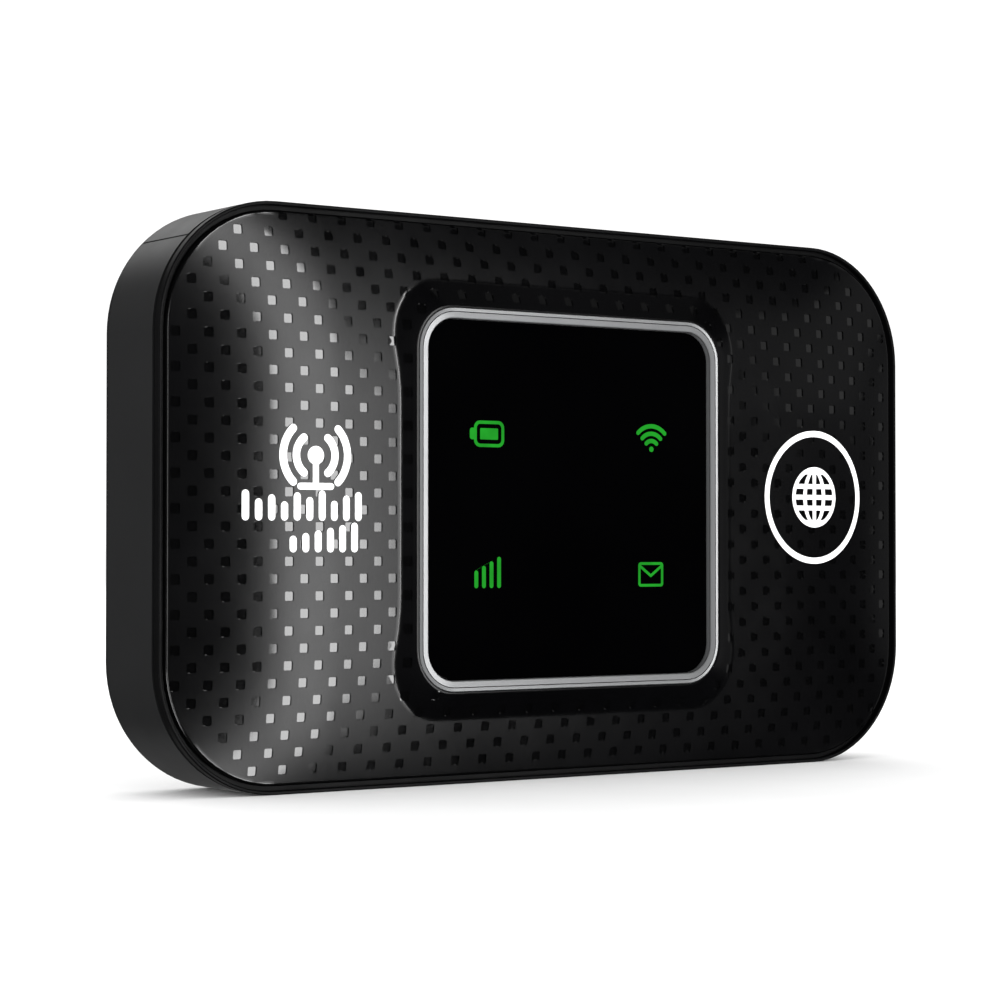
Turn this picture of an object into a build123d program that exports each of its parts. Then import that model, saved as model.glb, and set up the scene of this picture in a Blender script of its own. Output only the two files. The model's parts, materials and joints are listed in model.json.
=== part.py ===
from build123d import *
import math
import os

# Mobile hotspot, standing on its long lower edge. X runs along its length, the face looks
# towards -Y and Z is up. The origin is the middle of the underside. Everything is in mm.
# Depths are counted backwards from the rim of the front cover, heights forwards from it.

# Body outline
body_width = 99.0
body_height = 60.0
corner_radius = 13.3
rear_edge_radius = 2.2
wall = 1.8
smallest_corner = 0.5

# Front cover: a low pillow dome with a raised band round the window
cover_inset = 0.85
cover_wall = 1.0
cover_skirt = 0.3
dome_rise = 1.85
dome_run = 20.0
dome_steps = 4
band_side_run = 1.7
band_end_run = 2.65
band_base_corner = 8.0
lip_height = 2.3
lip_margin = 0.15

# Window: ring, lens and the gasket that holds the lens
ring_size = 40.4
ring_width = 1.2
ring_corner = 4.5
ring_height = 2.4
ring_edge = 0.25
lens_recess = 0.6
lens_thickness = 1.0
lens_edge = 0.15
gasket_thickness = 0.2
gasket_width = 0.8
window_clearance = 0.05
ledge_width = 2.2
ledge_thickness = 0.9
window_boss_wall = 1.2

# Trim frame between the cover and the housing
trim_lip_width = 0.4
trim_lip_height = 0.35
trim_lip_back = 0.5
trim_neck_inset = 0.6
trim_inner_inset = 2.0
groove_width = 0.55

# Stack of layers behind the rim
board_setback = 3.0
board_thickness = 1.0
post_height = 1.2
floor_thickness = 1.0
pad_thickness = 0.3
pack_thickness = 4.9
pack_gap = 0.1
panel_thickness = 1.1

# Battery cover and the ledge that it lies on
panel_inset = 2.4
panel_clearance = 0.08
panel_edge = 0.3
ledge_inset = 3.8
ledge_depth = 1.1
tab_length = 8.0
tab_thickness = 0.8
tab_depth = 0.9
tab_clearance = 0.1
tab_offset = 24.0
nail_notch_width = 14.0
nail_notch_reach = 1.6
nail_notch_depth = 0.5

# Top strip and its locating tabs
strip_thickness = 1.0
strip_clearance = 0.04
strip_tab_places = (-30.0, -10.0, 34.0)
strip_tab_length = 5.0
strip_tab_width = 2.0
strip_tab_reach = 1.6
strip_tab_setback = 2.2
slot_clearance = 0.1

# Push buttons in the top strip
button_proud = 0.3
button_travel = 0.4
button_width = 2.6
button_clearance = 0.08
button_depth = 4.75
button_edge = 0.25
power_button_place = 22.0
power_button_length = 9.0
pairing_button_place = 6.0
pairing_button_length = 5.0
flange_overhang = 1.2
flange_width = 3.6
flange_thickness = 0.6
nub_length = 2.0
nub_width = 1.0
button_pocket_margin = 1.2
button_pocket_height = 7.0

# Side-press switches
switch_length = 5.0
switch_height = 2.6
switch_thickness = 1.5
switch_edge_gap = 0.1
plunger_length = 2.4
plunger_width = 0.8
plunger_reach = 0.7
press_gap = 0.05
reset_place = 9.5
reset_hole_radius = 0.7
reset_travel = 0.25

# Main board
board_edge_gap = 4.0
board_boss_gap = 0.9
board_corner = 8.0
board_tongue_inset = 3.0
left_tongue_height = 16.0
right_tongue_bottom = -9.0
right_tongue_top = 6.0
board_screw_inset_x = 2.8
board_screw_inset_y = 3.5

# Fasteners
screw_radius = 0.8
screw_clearance = 0.05
screw_head_radius = 1.4
screw_head_height = 0.8
screw_bite = 3.0
board_screw_bite = 1.6
drive_radius = 0.7
drive_depth = 0.4
post_radius = 1.8
boss_radius = 2.1
boss_antenna_gap = 0.3
boss_offset = 14.0
driver_clearance = 0.5

# Battery pack, its bay and its contacts
pack_width = 58.0
pack_height = 44.0
pack_corner = 2.0
pack_clearance = 0.4
rib = 1.0
rib_head_gap = 1.1
contact_count = 4
contact_pitch = 1.8
contact_size = 1.2
contact_rear_gap = 0.5
contact_thickness = 0.1
contact_setback = 2.0
connector_width = 2.4
connector_length = 8.0
connector_height = 6.0
connector_gap = 0.2
connector_clearance = 0.3
spring_thickness = 0.6
pad_width = 36.0
pad_height = 5.0
pad_offset = 15.0

# Card sockets behind the board
card_width = 12.0
card_length = 15.0
card_thickness = 0.76
card_chamfer = 2.5
card_clearance = 0.1
card_protrusion = 1.0
socket_wall = 0.4
socket_gap = 1.6
socket_bottom = -21.0
memory_socket_length = 12.0
memory_socket_top_gap = 3.5
memory_slot_width = 11.0
memory_slot_thickness = 0.8
socket_window_margin = 0.3

# Data and charging port
port_length = 7.3
port_width = 9.0
port_thickness = 3.2
port_wall = 0.3
port_recess = 0.3
port_clearance = 0.1
port_pocket_margin = 0.5
tongue_width = 6.7
tongue_thickness = 0.7
tongue_recess = 0.5

# Shield cans, chips and small parts on the board
can_height = 1.6
can_wall = 0.2
modem_can = (18.0, 28.0)
radio_can = (17.0, 22.0)
modem_can_place = (-28.5, 0.0)
radio_can_place = (30.0, 2.0)
chip_height = 1.0
modem_chip_size = (12.0, 12.0)
memory_chip_size = (9.0, 8.0)
radio_chip_size = (7.0, 7.0)
power_chip_size = (5.0, 5.0)
chip_spread = 6.5
capacitor_size = (1.0, 0.5)
capacitor_height = 0.5
capacitor_pitch = 2.5
capacitor_count = 6
capacitor_row = -22.0
inductor_size = 3.0
inductor_height = 1.2
inductor_row = 21.5
inductor_places = (-8.0, -3.0, 2.0)
thermal_pad_size = 16.0

# Light baffle, diffuser and lamps behind the lens
baffle_clearance = 0.75
baffle_wall = 1.4
diffuser_thickness = 0.15
diffuser_gap = 0.05
lamp_offset_x = 11.0
lamp_offset_y = 7.6
lamp_size = (1.6, 0.8)
lamp_height = 0.6

# Antennas on the walls, and the springs that touch them
antenna_thickness = 0.3
antenna_setback = 1.6
antenna_width = 3.4
main_antenna_length = 24.0
diversity_antenna_length = 36.0
diversity_antenna_place = 10.0
wireless_antenna_length = 9.0
wireless_antenna_place = -11.5
spring_width = 1.4
spring_sheet = 0.2
spring_base = 1.6
spring_rise = 1.0
wireless_spring_place = -8.0

# Depths that follow from the stack
housing_front = trim_lip_back + groove_width
board_back = board_setback + board_thickness
floor_front = board_back + post_height
floor_back = floor_front + floor_thickness
pack_front = floor_back + pad_thickness
pack_back = pack_front + pack_thickness
panel_front = pack_back + pack_gap
panel_back = panel_front + panel_thickness
ledge_front = panel_front - ledge_depth
strip_back = panel_back - rear_edge_radius
body_thickness = panel_back + ring_height
rim_y = ring_height - body_thickness / 2

# Places that follow from the outline
half_width = body_width / 2
half_height = body_height / 2
boss_x = half_width - wall - antenna_thickness - boss_antenna_gap - boss_radius
board_half_width = boss_x - boss_radius - board_boss_gap
board_half_height = half_height - board_edge_gap
board_tongue_x = half_width - board_tongue_inset
pack_left = -(boss_x - screw_head_radius - rib_head_gap - rib - pack_clearance)
pack_right = pack_left + pack_width
pack_x = (pack_left + pack_right) / 2
connector_left = pack_right + pack_clearance + rib + connector_gap
connector_x = connector_left + connector_width / 2
socket_width = card_width + 2 * (card_clearance + socket_wall)
socket_left = connector_left + connector_width + socket_gap
socket_x = socket_left + socket_width / 2
inner_x = half_width - wall
inner_y = half_height - wall

# Window sizes that follow from the ring
pocket_size = ring_size + 2 * window_clearance
lens_size = ring_size - 2 * (ring_width + window_clearance)
opening_size = pocket_size - 2 * ledge_width
baffle_size = opening_size - 2 * baffle_clearance
lens_front = lens_recess - ring_height
gasket_front = lens_front + lens_thickness
window_ledge = gasket_front + gasket_thickness
ledge_back = window_ledge + ledge_thickness

cut = Mode.SUBTRACT


def layer(depth):
    """The plane that faces the front at this depth, centred on the face."""
    return Plane(origin=(0, rim_y + depth, half_height), x_dir=(1, 0, 0), z_dir=(0, -1, 0))


def slab(width, height, front, back, centre=(0, 0), radius=0.0, mode=Mode.ADD):
    """A rectangle of the face's plane, filled between two depths."""
    with BuildSketch(layer(back)) as profile:
        with Locations(centre):
            if radius > 0:
                RectangleRounded(width, height, radius)
            else:
                Rectangle(width, height)
    extrude(profile.sketch, amount=back - front, mode=mode)


def outline_corner(inset):
    """Corner radius of the body's outline, drawn in by an inset."""
    return max(corner_radius - inset, smallest_corner)


def body_slab(inset, front, back, mode=Mode.ADD):
    """The body's outline, drawn in by an inset, filled between two depths."""
    width = body_width - 2 * inset
    height = body_height - 2 * inset
    slab(width, height, front, back, radius=outline_corner(inset), mode=mode)


def rods(radius, front, back, centres, mode=Mode.ADD):
    """Round pins or holes along the depth."""
    with BuildSketch(layer(back)) as profile:
        with Locations(*centres):
            Circle(radius)
    extrude(profile.sketch, amount=back - front, mode=mode)


def mirrored(x, y):
    """The four points that mirror one point in both middle lines of the face."""
    return [(x, y), (-x, y), (-x, -y), (x, -y)]


def dome_height(inset):
    """Height of the pillow dome at a distance inside the body's outline."""
    return dome_rise * (1 - (1 - inset / dome_run) ** 2)


def dome_inset(height):
    """Distance inside the body's outline where the dome has this height."""
    return dome_run * (1 - math.sqrt(1 - height / dome_rise))


def dome_insets(first):
    """Even steps from a first inset to the flat top of the dome."""
    return [first + (dome_run - first) * step / dome_steps for step in range(dome_steps + 1)]


housing_screw_centres = mirrored(boss_x, boss_offset)
board_screw_centres = mirrored(
    board_half_width - board_screw_inset_x, board_half_height - board_screw_inset_y
)

# ---------------------------------------------------------------- front cover
lip_size = pocket_size + 2 * lip_margin
band_height = lip_size + 2 * band_end_run
band_base = dome_height(half_height - band_height / 2)
band_base_width = lip_size + 2 * band_side_run * (lip_height - band_base) / (lip_height - dome_rise)
window_boss_size = pocket_size + 2 * window_boss_wall
pocket_corner = ring_corner + window_clearance
opening_corner = pocket_corner - ledge_width
screw_hole = screw_radius + screw_clearance
screw_end = floor_front - screw_bite

with BuildPart() as front_cover:
    for inset in dome_insets(cover_inset):
        with BuildSketch(layer(-dome_height(inset))):
            RectangleRounded(body_width - 2 * inset, body_height - 2 * inset, outline_corner(inset))
    loft(ruled=True)
    body_slab(cover_inset, -dome_height(cover_inset), cover_skirt)
    for inset in dome_insets(dome_inset(cover_wall - cover_skirt)):
        with BuildSketch(layer(cover_wall - dome_height(inset))):
            RectangleRounded(body_width - 2 * inset, body_height - 2 * inset, outline_corner(inset))
    loft(ruled=True, mode=cut)
    with BuildSketch(layer(-band_base)):
        RectangleRounded(band_base_width, band_height, band_base_corner)
    with BuildSketch(layer(-lip_height)):
        RectangleRounded(lip_size, lip_size, pocket_corner + lip_margin)
    loft(ruled=True)
    slab(window_boss_size, window_boss_size, -band_base, ledge_back, radius=pocket_corner)
    slab(pocket_size, pocket_size, -ring_height, window_ledge, radius=pocket_corner, mode=cut)
    slab(opening_size, opening_size, -ring_height, ledge_back, radius=opening_corner, mode=cut)
    rods(boss_radius, cover_skirt - cover_wall / 2, floor_front, housing_screw_centres)
    rods(screw_hole, screw_end - press_gap, floor_front, housing_screw_centres, cut)

# --------------------------------------------------------------------- window
inner_ring = ring_size - 2 * ring_width
inner_corner = ring_corner - ring_width
gasket_corner = inner_corner - window_clearance
gasket_hole = lens_size - 2 * gasket_width
gasket_hole_corner = gasket_corner - gasket_width

with BuildPart() as window_ring:
    slab(ring_size, ring_size, -ring_height, window_ledge, radius=ring_corner)
    slab(inner_ring, inner_ring, -ring_height, window_ledge, radius=inner_corner, mode=cut)
    fillet(window_ring.faces().sort_by(Axis.Y)[0].edges(), radius=ring_edge)

with BuildPart() as window_lens:
    slab(lens_size, lens_size, lens_front, gasket_front, radius=gasket_corner)
    fillet(window_lens.faces().sort_by(Axis.Y)[0].edges(), radius=lens_edge)

with BuildPart() as lens_gasket:
    slab(lens_size, lens_size, gasket_front, window_ledge, radius=gasket_corner)
    slab(gasket_hole, gasket_hole, gasket_front, window_ledge, radius=gasket_hole_corner, mode=cut)

# ----------------------------------------------------------------- trim frame
with BuildPart() as trim_frame:
    body_slab(0, -trim_lip_height, trim_lip_back)
    body_slab(trim_neck_inset, trim_lip_back, housing_front)
    body_slab(trim_lip_width, -trim_lip_height, cover_skirt, cut)
    body_slab(trim_inner_inset, -trim_lip_height, housing_front, cut)
    fillet(trim_frame.faces().sort_by(Axis.Y)[0].edges(), radius=trim_lip_width / 3)


# ------------------------------------------------------------------ top strip
def strip_region(gap):
    """Everything above lines that leave the two upper corner centres at 45 degrees."""
    centre_x = half_width - corner_radius + gap * math.sqrt(2)
    centre_y = half_height - corner_radius
    reach = 2 * corner_radius
    Polygon(
        (-centre_x, centre_y),
        (centre_x, centre_y),
        (centre_x + reach, centre_y + reach),
        (-centre_x - reach, centre_y + reach),
        align=None,
        mode=Mode.INTERSECT,
    )


def above_wall(length, width, depth, low, high, place, mode=Mode.ADD, radius=0.0):
    """A block that stands on the top wall: length along X, width along Y, between two heights."""
    base = Plane(origin=(place, rim_y + depth, half_height + low), x_dir=(1, 0, 0), z_dir=(0, 0, 1))
    with BuildSketch(base) as profile:
        if radius > 0:
            RectangleRounded(length, width, radius)
        else:
            Rectangle(length, width)
    extrude(profile.sketch, amount=high - low, mode=mode)


buttons = {
    "power": (power_button_place, power_button_length),
    "pairing": (pairing_button_place, pairing_button_length),
}
strip_underside = half_height - strip_thickness
strip_tab_depth = strip_tab_setback + strip_tab_width / 2
slot_corner = button_width / 2 - button_clearance

with BuildPart() as top_strip:
    with BuildSketch(layer(strip_back)) as strip_profile:
        RectangleRounded(body_width, body_height, corner_radius)
        RectangleRounded(
            body_width - 2 * strip_thickness,
            body_height - 2 * strip_thickness,
            corner_radius - strip_thickness,
            mode=cut,
        )
        strip_region(0)
    extrude(strip_profile.sketch, amount=strip_back - housing_front)
    for place in strip_tab_places:
        above_wall(
            strip_tab_length,
            strip_tab_width,
            strip_tab_depth,
            strip_underside - strip_tab_reach,
            strip_underside,
            place,
        )
    for place, length in buttons.values():
        hole = length + 2 * button_clearance
        above_wall(
            hole,
            button_width + 2 * button_clearance,
            button_depth,
            inner_y,
            half_height,
            place,
            cut,
            slot_corner,
        )

# --------------------------------------------------------------- rear housing
port_depth = board_back + port_thickness / 2
reset_depth = board_back + switch_thickness / 2
bay_width = pack_width + 2 * pack_clearance
bay_height = pack_height + 2 * pack_clearance
window_top = board_half_height - memory_socket_top_gap + socket_window_margin
window_bottom = socket_bottom - socket_window_margin
notch_height = connector_length + 2 * connector_clearance


def end_plane(x, depth, place):
    """A plane that faces the right end, at a depth and a height above the middle."""
    origin = (x, rim_y + depth, half_height + place)
    return Plane(origin=origin, x_dir=(0, 1, 0), z_dir=(1, 0, 0))


def along_port(width, thickness, left, right, radius, mode=Mode.ADD):
    """A rounded bar that lies along the port's axis between two places on X."""
    with BuildSketch(end_plane(left, port_depth, 0)) as profile:
        RectangleRounded(thickness, width, radius)
    extrude(profile.sketch, amount=right - left, mode=mode)


with BuildPart() as rear_housing:
    body_slab(0, housing_front, panel_back)
    fillet(rear_housing.faces().sort_by(Axis.Y)[-1].edges(), radius=rear_edge_radius)
    body_slab(wall, housing_front, floor_front, cut)
    body_slab(wall, floor_back, ledge_front, cut)
    body_slab(ledge_inset, ledge_front, panel_front, cut)
    body_slab(panel_inset - panel_clearance, panel_front, panel_back, cut)
    # walls round the battery bay
    rib_back = panel_front - slot_clearance
    slab(bay_width + 2 * rib, bay_height + 2 * rib, floor_back, rib_back, (pack_x, 0))
    slab(bay_width, bay_height, floor_back, rib_back, (pack_x, 0), mode=cut)
    # posts that carry the board
    rods(post_radius, board_back, floor_front, board_screw_centres)
    rods(screw_hole, board_back, board_back + board_screw_bite, board_screw_centres, cut)
    # holes for the housing screws, and room for the driver through the ledge
    rods(screw_hole, floor_front, floor_back, housing_screw_centres, cut)
    driver_radius = screw_head_radius + driver_clearance
    rods(driver_radius, ledge_front, panel_front, housing_screw_centres, cut)
    # window in the floor over the card sockets
    slab(
        socket_width + 2 * socket_window_margin,
        window_top - window_bottom,
        floor_front,
        floor_back,
        (socket_x, (window_top + window_bottom) / 2),
        mode=cut,
    )
    # notch for the battery connector, through the floor and the bay's wall
    notch_left = pack_right + pack_clearance
    notch_right = connector_left + connector_width + connector_clearance
    slab(
        notch_right - notch_left,
        notch_height,
        floor_front,
        rib_back,
        ((notch_left + notch_right) / 2, 0),
        mode=cut,
    )
    # pocket for the port, and its opening in the end wall
    pocket_left = half_width - port_recess - port_length - port_pocket_margin
    slab(
        inner_x - pocket_left,
        port_width + 2 * port_pocket_margin,
        floor_front,
        floor_back,
        ((inner_x + pocket_left) / 2, 0),
        mode=cut,
    )
    along_port(
        port_width + 2 * port_clearance,
        port_thickness + 2 * port_clearance,
        inner_x,
        half_width,
        port_thickness / 2,
        cut,
    )
    # reset pinhole
    with BuildSketch(end_plane(inner_x, reset_depth, reset_place)) as pinhole_profile:
        Circle(reset_hole_radius)
    extrude(pinhole_profile.sketch, amount=wall, mode=cut)
    # pocket in the floor for the reset switch
    slab(
        switch_height + 2 * port_pocket_margin,
        switch_length + 2 * port_pocket_margin,
        floor_front,
        floor_back,
        (board_half_width - switch_edge_gap - switch_height / 2, reset_place),
        mode=cut,
    )
    # seat of the top strip
    with BuildSketch(layer(strip_back + strip_clearance)) as seat_profile:
        Rectangle(2 * body_width, 2 * body_height)
        RectangleRounded(
            body_width - 2 * (strip_thickness + strip_clearance),
            body_height - 2 * (strip_thickness + strip_clearance),
            corner_radius - strip_thickness - strip_clearance,
            mode=cut,
        )
        strip_region(strip_clearance)
    extrude(seat_profile.sketch, amount=strip_back + strip_clearance - housing_front, mode=cut)
    # slots for the strip's tabs
    for place in strip_tab_places:
        above_wall(
            strip_tab_length + 2 * slot_clearance,
            strip_tab_width + 2 * slot_clearance,
            strip_tab_depth,
            inner_y,
            half_height,
            place,
            cut,
        )
    # slots for the buttons, and the pockets that their switches sit in
    for place, length in buttons.values():
        above_wall(
            length + 2 * button_clearance,
            button_width + 2 * button_clearance,
            button_depth,
            inner_y,
            half_height,
            place,
            cut,
            slot_corner,
        )
        slab(
            length + 2 * (flange_overhang + button_pocket_margin),
            button_pocket_height,
            floor_front,
            floor_back,
            (place, inner_y - button_pocket_height / 2),
            mode=cut,
        )

# -------------------------------------------------------------- battery cover
tab_centre = half_height - ledge_inset - tab_clearance - tab_thickness / 2
end_tab_centre = half_width - ledge_inset - tab_clearance - tab_thickness / 2

with BuildPart() as battery_cover:
    body_slab(panel_inset, panel_front, panel_back)
    fillet(battery_cover.faces().sort_by(Axis.Y)[-1].edges(), radius=panel_edge)
    tab_front = panel_front - tab_depth
    for place, side in mirrored(tab_offset, tab_centre):
        slab(tab_length, tab_thickness, tab_front, panel_front, (place, side))
    for side in (-end_tab_centre, end_tab_centre):
        slab(tab_thickness, tab_length, tab_front, panel_front, (side, 0))
    # shallow notch for a fingernail in the lower edge
    slab(
        nail_notch_width,
        2 * nail_notch_reach,
        panel_back - nail_notch_depth,
        panel_back,
        (0, panel_inset - half_height),
        radius=nail_notch_reach - slot_clearance,
        mode=cut,
    )


# -------------------------------------------------------------------- buttons
board_top = board_half_height
plunger_top = board_top - switch_edge_gap + plunger_reach


def push_button(place, length):
    """A cap that fills its slot, a flange that keeps it in, and a nub over the switch."""
    flange_top = inner_y - press_gap
    with BuildPart() as button:
        above_wall(
            length,
            button_width,
            button_depth,
            flange_top,
            half_height + button_proud,
            place,
            radius=slot_corner - button_clearance,
        )
        fillet(button.faces().sort_by(Axis.Z)[-1].edges(), radius=button_edge)
        above_wall(
            length + 2 * flange_overhang,
            flange_width,
            button_depth,
            flange_top - flange_thickness,
            flange_top,
            place,
        )
        above_wall(
            nub_length,
            nub_width,
            button_depth,
            plunger_top + button_travel + press_gap,
            flange_top - flange_thickness,
            place,
        )
    return button


power_button = push_button(*buttons["power"])
pairing_button = push_button(*buttons["pairing"])


def edge_switch(place):
    """A side-press switch behind the board's top edge."""
    switch_top = board_top - switch_edge_gap
    with BuildPart() as switch:
        slab(
            switch_length,
            switch_height,
            board_back,
            board_back + switch_thickness,
            (place, switch_top - switch_height / 2),
        )
        slab(
            plunger_length,
            plunger_reach,
            reset_depth - plunger_width / 2,
            reset_depth + plunger_width / 2,
            (place, switch_top + plunger_reach / 2),
        )
    return switch


power_switch = edge_switch(power_button_place)
pairing_switch = edge_switch(pairing_button_place)

# The reset switch faces the pinhole in the end wall, and its plunger is a piece of its own.
switch_right = board_half_width - switch_edge_gap
plunger_hole = plunger_reach + reset_travel + press_gap
with BuildPart() as reset_switch:
    slab(
        switch_height,
        switch_length,
        board_back,
        board_back + switch_thickness,
        (switch_right - switch_height / 2, reset_place),
    )
    slab(
        plunger_hole,
        plunger_length + 2 * press_gap,
        reset_depth - plunger_width / 2 - press_gap,
        reset_depth + plunger_width / 2 + press_gap,
        (switch_right - plunger_hole / 2, reset_place),
        mode=cut,
    )

with BuildPart() as reset_plunger:
    slab(
        2 * plunger_reach,
        plunger_length,
        reset_depth - plunger_width / 2,
        reset_depth + plunger_width / 2,
        (switch_right, reset_place),
    )

# ----------------------------------------------------------------- main board
with BuildPart() as main_board:
    slab(2 * board_half_width, 2 * board_half_height, board_setback, board_back, radius=board_corner)
    slab(board_tongue_x, left_tongue_height, board_setback, board_back, (-board_tongue_x / 2, 0))
    slab(
        board_tongue_x,
        right_tongue_top - right_tongue_bottom,
        board_setback,
        board_back,
        (board_tongue_x / 2, (right_tongue_top + right_tongue_bottom) / 2),
    )
    rods(screw_hole, board_setback, board_back, board_screw_centres, cut)


def shield_can(size, place):
    """A sheet metal lid over a group of chips, open towards the board."""
    width, height = size
    top = board_setback - can_height
    with BuildPart() as can:
        slab(width, height, top, board_setback, place, radius=2 * can_wall)
        slab(
            width - 2 * can_wall,
            height - 2 * can_wall,
            top + can_wall,
            board_setback,
            place,
            mode=cut,
        )
    return can


def chip(size, place):
    """A flat package soldered to the board."""
    with BuildPart() as package:
        slab(size[0], size[1], board_setback - chip_height, board_setback, place)
    return package


modem_shield = shield_can(modem_can, modem_can_place)
radio_shield = shield_can(radio_can, radio_can_place)
modem_chip = chip(modem_chip_size, (modem_can_place[0], modem_can_place[1] - chip_spread))
memory_chip = chip(memory_chip_size, (modem_can_place[0], modem_can_place[1] + chip_spread))
radio_chip = chip(radio_chip_size, (radio_can_place[0], radio_can_place[1] - chip_spread))
power_chip = chip(power_chip_size, (radio_can_place[0], radio_can_place[1] + chip_spread))

with BuildPart() as board_capacitors:
    for step in range(capacitor_count):
        slab(
            *capacitor_size,
            board_setback - capacitor_height,
            board_setback,
            (step * capacitor_pitch, capacitor_row),
        )

with BuildPart() as power_inductors:
    for place in inductor_places:
        slab(
            inductor_size,
            inductor_size,
            board_setback - inductor_height,
            board_setback,
            (place, inductor_row),
            radius=inductor_size / 4,
        )

with BuildPart() as thermal_pad:
    slab(thermal_pad_size, thermal_pad_size, board_back, floor_front, (modem_can_place[0], -chip_spread))

# --------------------------------------------------------- light behind the lens
diffuser_front = gasket_front + diffuser_gap
baffle_front = diffuser_front + diffuser_thickness
cell = (baffle_size - 3 * baffle_wall) / 2
cell_centre = (cell + baffle_wall) / 2

with BuildPart() as light_baffle:
    slab(baffle_size, baffle_size, baffle_front, board_setback)
    for place in mirrored(cell_centre, cell_centre):
        slab(cell, cell, baffle_front, board_setback, place, mode=cut)

with BuildPart() as diffuser_sheet:
    slab(baffle_size, baffle_size, diffuser_front, baffle_front)

with BuildPart() as status_leds:
    for place in mirrored(lamp_offset_x, lamp_offset_y):
        slab(*lamp_size, board_setback - lamp_height, board_setback, place)

# -------------------------------------------------------------------- battery
with BuildPart() as battery_pack:
    slab(pack_width, pack_height, pack_front, pack_back, (pack_x, 0), radius=pack_corner)

contact_rows = [(step - (contact_count - 1) / 2) * contact_pitch for step in range(contact_count)]
contact_front = pack_front + contact_setback
contact_length = pack_back - contact_rear_gap - contact_front
with BuildPart() as battery_contacts:
    for row in contact_rows:
        slab(
            contact_thickness,
            contact_size,
            contact_front,
            contact_front + contact_length,
            (pack_right + contact_thickness / 2, row),
        )

with BuildPart() as battery_connector:
    slab(connector_width, connector_length, board_back, board_back + connector_height, (connector_x, 0))

spring_left = pack_right + 2 * contact_thickness
with BuildPart() as battery_springs:
    for row in contact_rows:
        slab(
            connector_left - spring_left,
            contact_size / 2,
            contact_front + (contact_length - spring_thickness) / 2,
            contact_front + (contact_length + spring_thickness) / 2,
            ((connector_left + spring_left) / 2, row),
        )

with BuildPart() as battery_pads:
    for row in (-pad_offset, pad_offset):
        slab(pad_width, pad_height, floor_back, pack_front, (pack_x, row))

# --------------------------------------------------------------- card sockets
card_slot = card_thickness + 2 * card_clearance
socket_thickness = card_slot + 2 * socket_wall
card_front = board_back + socket_wall + card_clearance
socket_length = card_length - card_protrusion + card_clearance + socket_wall
card_bottom = socket_bottom + socket_wall + card_clearance

with BuildPart() as card_socket:
    slab(
        socket_width,
        socket_length,
        board_back,
        board_back + socket_thickness,
        (socket_x, socket_bottom + socket_length / 2),
    )
    slab(
        card_width + 2 * card_clearance,
        socket_length - socket_wall,
        board_back + socket_wall,
        board_back + socket_wall + card_slot,
        (socket_x, socket_bottom + socket_wall + (socket_length - socket_wall) / 2),
        mode=cut,
    )

with BuildPart() as subscriber_card:
    with BuildSketch(layer(card_front + card_thickness)) as card_profile:
        with Locations((socket_x, card_bottom + card_length / 2)):
            Rectangle(card_width, card_length)
        lower_left = card_profile.vertices().group_by(Axis.Z)[0].sort_by(Axis.X)[0]
        chamfer(lower_left, length=card_chamfer)
    extrude(card_profile.sketch, amount=card_thickness)

memory_socket_thickness = memory_slot_thickness + 2 * socket_wall
memory_socket_y = board_half_height - memory_socket_top_gap - memory_socket_length / 2
with BuildPart() as memory_card_socket:
    slab(
        socket_width,
        memory_socket_length,
        board_back,
        board_back + memory_socket_thickness,
        (socket_x, memory_socket_y),
    )
    slab(
        memory_slot_width,
        memory_socket_length - socket_wall,
        board_back + socket_wall,
        board_back + socket_wall + memory_slot_thickness,
        (socket_x, memory_socket_y - socket_wall / 2),
        mode=cut,
    )

# ------------------------------------------------------------------ data port
port_right = half_width - port_recess


port_corner = port_thickness / 2 - port_clearance
with BuildPart() as data_port_shell:
    along_port(port_width, port_thickness, port_right - port_length, port_right, port_corner)
    along_port(
        port_width - 2 * port_wall,
        port_thickness - 2 * port_wall,
        port_right - port_length + port_wall,
        port_right,
        port_corner - port_wall,
        cut,
    )

with BuildPart() as data_port_tongue:
    along_port(
        tongue_width,
        tongue_thickness,
        port_right - port_length + port_wall,
        port_right - tongue_recess,
        tongue_thickness / 3,
    )

# ------------------------------------------------------------------- antennas
antenna_back = antenna_setback + antenna_width

with BuildPart() as main_antenna:
    slab(
        antenna_thickness,
        main_antenna_length,
        antenna_setback,
        antenna_back,
        (antenna_thickness / 2 - inner_x, 0),
    )

with BuildPart() as diversity_antenna:
    slab(
        diversity_antenna_length,
        antenna_thickness,
        antenna_setback,
        antenna_back,
        (diversity_antenna_place, antenna_thickness / 2 - inner_y),
    )

with BuildPart() as wireless_antenna:
    slab(
        antenna_thickness,
        wireless_antenna_length,
        antenna_setback,
        antenna_back,
        (inner_x - antenna_thickness / 2, wireless_antenna_place),
    )


def side_spring(side, board_edge, row):
    """A bent strip from the board's front to an antenna on an end wall."""
    tip = inner_x - antenna_thickness
    base_start = board_edge - spring_base
    slab(
        tip - base_start,
        spring_width,
        board_setback - spring_sheet,
        board_setback,
        (side * (tip + base_start) / 2, row),
    )
    slab(
        spring_sheet,
        spring_width,
        board_setback - spring_rise,
        board_setback,
        (side * (tip - spring_sheet / 2), row),
    )


with BuildPart() as antenna_springs:
    side_spring(-1, board_tongue_x, 0)
    side_spring(1, board_tongue_x, wireless_spring_place)
    lower_tip = inner_y - antenna_thickness
    lower_base = board_half_height - spring_base
    slab(
        spring_width,
        lower_tip - lower_base,
        board_setback - spring_sheet,
        board_setback,
        (diversity_antenna_place, -(lower_tip + lower_base) / 2),
    )
    slab(
        spring_width,
        spring_sheet,
        board_setback - spring_rise,
        board_setback,
        (diversity_antenna_place, spring_sheet / 2 - lower_tip),
    )

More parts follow.
